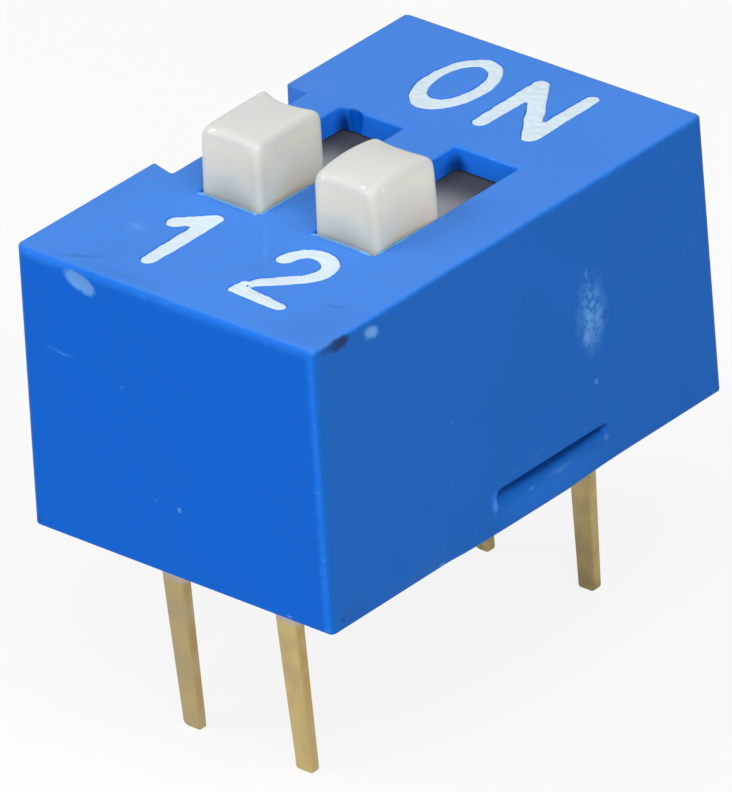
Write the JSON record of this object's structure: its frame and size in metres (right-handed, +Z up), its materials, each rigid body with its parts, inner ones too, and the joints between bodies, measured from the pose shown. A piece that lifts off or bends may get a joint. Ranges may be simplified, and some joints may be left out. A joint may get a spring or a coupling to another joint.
{
  "type": "dip switch",
  "caption": "Slide dip switch: a moulded housing with sliding knobs over leaf contacts, and rows of flat pins for a circuit board.",
  "frame": {"origin": "middle of the plane that the cover's rim rests on", "axes": "+Z up through the knobs, +Y along the slides from the numbers to ON, +X from position 1 to position 2"},
  "size_m": [0.0066, 0.0102, 0.0106],
  "materials": {
    "cover": "satin moulded",
    "base": "satin moulded",
    "seal": "cured resin",
    "terminal": "gold plated",
    "slider": "glossy moulded",
    "contact": "gold plated",
    "ink": "matt ink"
  },
  "bodies": {
    "housing": {"cover": "cover", "base": "base", "seal": "seal", "terminal_1_number": "terminal", "terminal_1_on": "terminal", "terminal_2_number": "terminal", "terminal_2_on": "terminal", "legend_on": "ink", "legend_1": "ink", "legend_2": "ink"},
    "position_1": {"slider_1": "slider", "contact_1": "contact"},
    "position_2": {"slider_2": "slider", "contact_2": "contact"}
  },
  "joints": [
    {"name": "slide_1", "type": "slide", "parent": "housing", "child": "position_1", "axis": [0, 1, 0], "range_m": [0, 0.00192]},
    {"name": "slide_2", "type": "slide", "parent": "housing", "child": "position_2", "axis": [0, 1, 0], "range_m": [0, 0.00192]}
  ]
}
